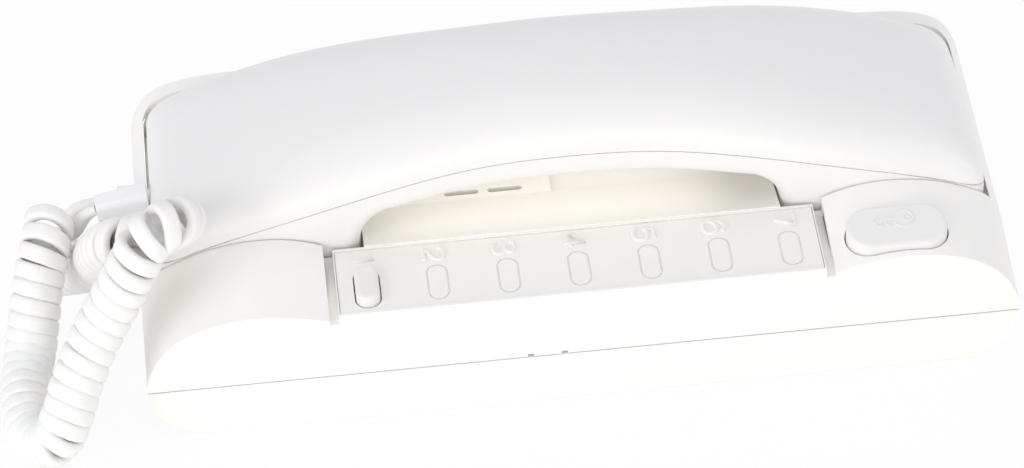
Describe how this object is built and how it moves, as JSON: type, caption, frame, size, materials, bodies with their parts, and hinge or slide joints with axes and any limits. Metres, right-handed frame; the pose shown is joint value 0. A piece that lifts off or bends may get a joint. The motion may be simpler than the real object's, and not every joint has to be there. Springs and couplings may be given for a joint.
{
  "type": "audio intercom handset",
  "caption": "Wall door-phone: a casing with a call strip, a call key and a door key, a loudspeaker grille, and a handset on a curly cord that lies in a cradle over a hook plunger.",
  "frame": {"origin": "bottom centre of the casing's flat back, which lies on the wall or table", "axes": "+X along the casing to the earpiece and door key, +Y across to the handset's side, +Z out of the wall"},
  "size_m": [0.2643, 0.1134, 0.068],
  "materials": {
    "casing_plastic": "moulded ABS, satin",
    "handset_plastic": "moulded ABS, satin",
    "strip_plastic": "moulded ABS, fine texture",
    "key_plastic": "moulded ABS, satin",
    "plunger_plastic": "acetal, satin",
    "cord_sheath": "soft PVC sheath, satin",
    "boot_rubber": "soft PVC, satin",
    "spring_steel": "bright wire",
    "screw_steel": "zinc plated",
    "board_laminate": "solder-masked laminate",
    "switch_plastic": "moulded",
    "terminal_plastic": "moulded",
    "capacitor_sleeve": "printed sleeve left plain",
    "speaker_steel": "pressed steel",
    "speaker_paper": "treated paper cone",
    "magnet_ferrite": "ferrite",
    "capsule_metal": "drawn can",
    "receiver_plastic": "moulded",
    "foam_ring": "foam"
  },
  "bodies": {
    "base": {"back_cover": "casing_plastic", "front_housing": "casing_plastic", "call_strip": "strip_plastic", "call_switch": "switch_plastic", "door_switch": "switch_plastic", "call_key_spring": "spring_steel", "door_key_spring": "spring_steel", "hook_spring": "spring_steel", "hook_switch": "switch_plastic", "circuit_board": "board_laminate", "terminal_block": "terminal_plastic", "terminal_screws": "screw_steel", "capacitors": "capacitor_sleeve", "tone_chip": "switch_plastic", "speaker_frame": "speaker_steel", "speaker_cone": "speaker_paper", "speaker_magnet": "magnet_ferrite", "casing_screws": "screw_steel", "board_screws": "screw_steel", "base_cord_bush": "boot_rubber"},
    "handset": {"handset_outer_shell": "handset_plastic", "handset_inner_shell": "handset_plastic", "earpiece_receiver": "receiver_plastic", "receiver_ring": "foam_ring", "microphone_capsule": "capsule_metal", "microphone_boot": "foam_ring", "handset_screws": "screw_steel", "cord_boot": "boot_rubber", "handset_lead": "cord_sheath", "curly_cord": "cord_sheath", "base_lead": "cord_sheath"},
    "call_key": {"call_key": "key_plastic"},
    "door_key": {"door_key": "key_plastic"},
    "hook_plunger": {"hook_plunger": "plunger_plastic"}
  },
  "joints": [
    {"name": "handset_lift", "type": "slide", "parent": "base", "child": "handset", "axis": [0, 0, 1], "range_m": [0, 0.08]},
    {"name": "door_press", "type": "slide", "parent": "base", "child": "door_key", "axis": [0, 0, -1], "range_m": [0, 0.002], "stiffness_N_per_m": 300, "springref_m": -0.003, "deforming": ["door_key_spring"]},
    {"name": "call_press", "type": "slide", "parent": "base", "child": "call_key", "axis": [0, 0, -1], "range_m": [0, 0.0015], "stiffness_N_per_m": 300, "springref_m": -0.003, "deforming": ["call_key_spring"]},
    {"name": "hook_travel", "type": "slide", "parent": "base", "child": "hook_plunger", "axis": [0, 0, 1], "range_m": [0, 0.004], "deforming": ["hook_spring"]}
  ],
  "couplings": [
    {"joint": "hook_travel", "follows": "handset_lift", "ratio": 0.05}
  ]
}
